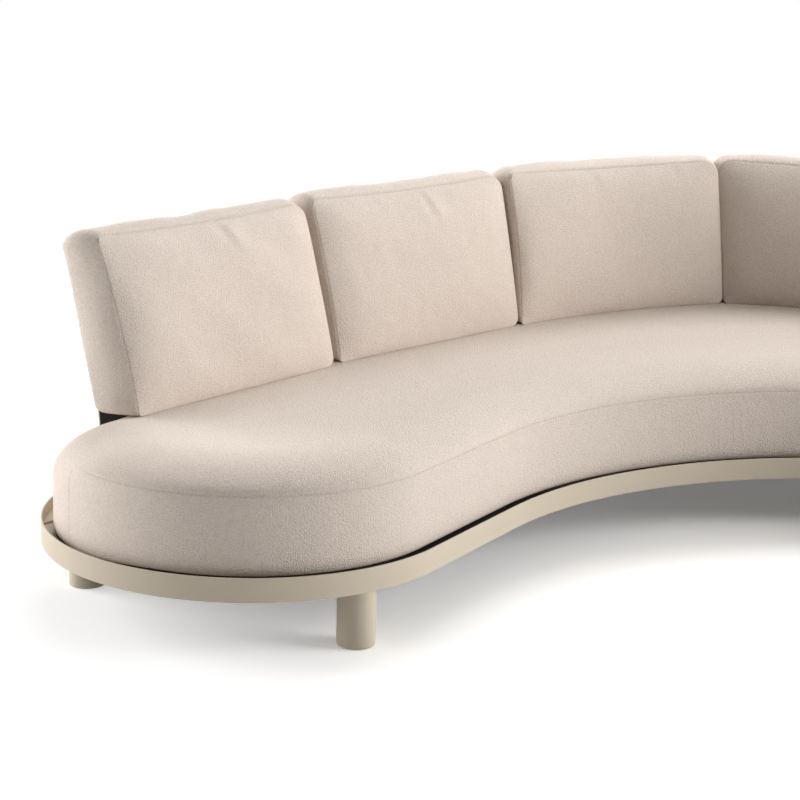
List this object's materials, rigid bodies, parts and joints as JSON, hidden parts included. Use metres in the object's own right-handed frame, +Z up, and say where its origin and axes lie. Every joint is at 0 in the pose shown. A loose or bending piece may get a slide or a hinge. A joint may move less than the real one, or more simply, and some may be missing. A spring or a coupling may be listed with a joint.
{
  "type": "outdoor sofa",
  "caption": "Curved outdoor sofa: a low rail base on round legs, one moulded seat cushion, sheet back panels and loose leaning back cushions.",
  "frame": {"origin": "on the floor, under the middle of the overall box", "axes": "+X along the length, +Y from the front towards the back, +Z up"},
  "size_m": [3.546, 1.888, 0.7814],
  "materials": {
    "powder_coat": "satin warm grey-beige powder coat",
    "dark_coat": "matt black coat on the lip, beams and spines under the boards",
    "bare_steel": "plain plated plates inside the legs",
    "bolt_steel": "plated frame bolts",
    "deck_board": "black slotted boards under the seat cushion",
    "glide": "black floor glides",
    "lining": "dark spacer mesh on the back panels",
    "fabric": "pale beige fine-woven outdoor fabric over foam"
  },
  "bodies": {
    "frame": {"rail_front": "powder_coat", "rail_back": "powder_coat", "rail_end_left": "powder_coat", "rail_end_right": "powder_coat", "deck_lip": "dark_coat", "beam_centre": "dark_coat", "beam_inner_left": "dark_coat", "beam_inner_right": "dark_coat", "beam_outer_left": "dark_coat", "beam_outer_right": "dark_coat", "beam_end_left": "dark_coat", "beam_end_right": "dark_coat", "outrigger_left": "dark_coat", "outrigger_right": "dark_coat", "spine_outer_left": "dark_coat", "spine_outer_right": "dark_coat", "spine_inner_left": "dark_coat", "spine_inner_right": "dark_coat", "leg_front_left": "powder_coat", "leg_front_right": "powder_coat", "leg_side_left": "powder_coat", "leg_side_right": "powder_coat", "leg_back_left": "powder_coat", "leg_back_right": "powder_coat", "leg_back_centre": "powder_coat", "leg_middle": "powder_coat", "leg_plates": "bare_steel", "leg_glides": "glide", "frame_bolts": "bolt_steel", "deck_centre": "deck_board", "deck_left": "deck_board", "deck_right": "deck_board", "shelf_centre": "powder_coat", "shelf_left": "powder_coat", "shelf_right": "powder_coat", "back_panel_centre": "powder_coat", "back_panel_left": "powder_coat", "back_panel_right": "powder_coat", "back_lining_centre": "lining", "back_lining_left": "lining", "back_lining_right": "lining", "post_centre": "powder_coat", "post_inner_left": "powder_coat", "post_inner_right": "powder_coat", "post_outer_left": "powder_coat", "post_outer_right": "powder_coat", "post_end_left": "powder_coat", "post_end_right": "powder_coat", "cap_rail_centre": "powder_coat", "cap_rail_left": "powder_coat", "cap_rail_right": "powder_coat"},
    "seat": {"seat_cushion": "fabric"},
    "cushion_end_left": {"back_cushion_end_left": "fabric"},
    "cushion_mid_left": {"back_cushion_mid_left": "fabric"},
    "cushion_centre_left": {"back_cushion_centre_left": "fabric"},
    "cushion_centre_right": {"back_cushion_centre_right": "fabric"},
    "cushion_mid_right": {"back_cushion_mid_right": "fabric"},
    "cushion_end_right": {"back_cushion_end_right": "fabric"}
  },
  "joints": [
    {"name": "seat_lift", "type": "slide", "parent": "frame", "child": "seat", "axis": [0, 0, 1], "range_m": [0, 0.25]},
    {"name": "cushion_end_left_lift", "type": "slide", "parent": "seat", "child": "cushion_end_left", "axis": [0, 0, 1], "range_m": [0, 0.3]},
    {"name": "cushion_mid_left_lift", "type": "slide", "parent": "seat", "child": "cushion_mid_left", "axis": [0, 0, 1], "range_m": [0, 0.3]},
    {"name": "cushion_centre_left_lift", "type": "slide", "parent": "seat", "child": "cushion_centre_left", "axis": [0, 0, 1], "range_m": [0, 0.3]},
    {"name": "cushion_centre_right_lift", "type": "slide", "parent": "seat", "child": "cushion_centre_right", "axis": [0, 0, 1], "range_m": [0, 0.3]},
    {"name": "cushion_mid_right_lift", "type": "slide", "parent": "seat", "child": "cushion_mid_right", "axis": [0, 0, 1], "range_m": [0, 0.3]},
    {"name": "cushion_end_right_lift", "type": "slide", "parent": "seat", "child": "cushion_end_right", "axis": [0, 0, 1], "range_m": [0, 0.3]}
  ]
}
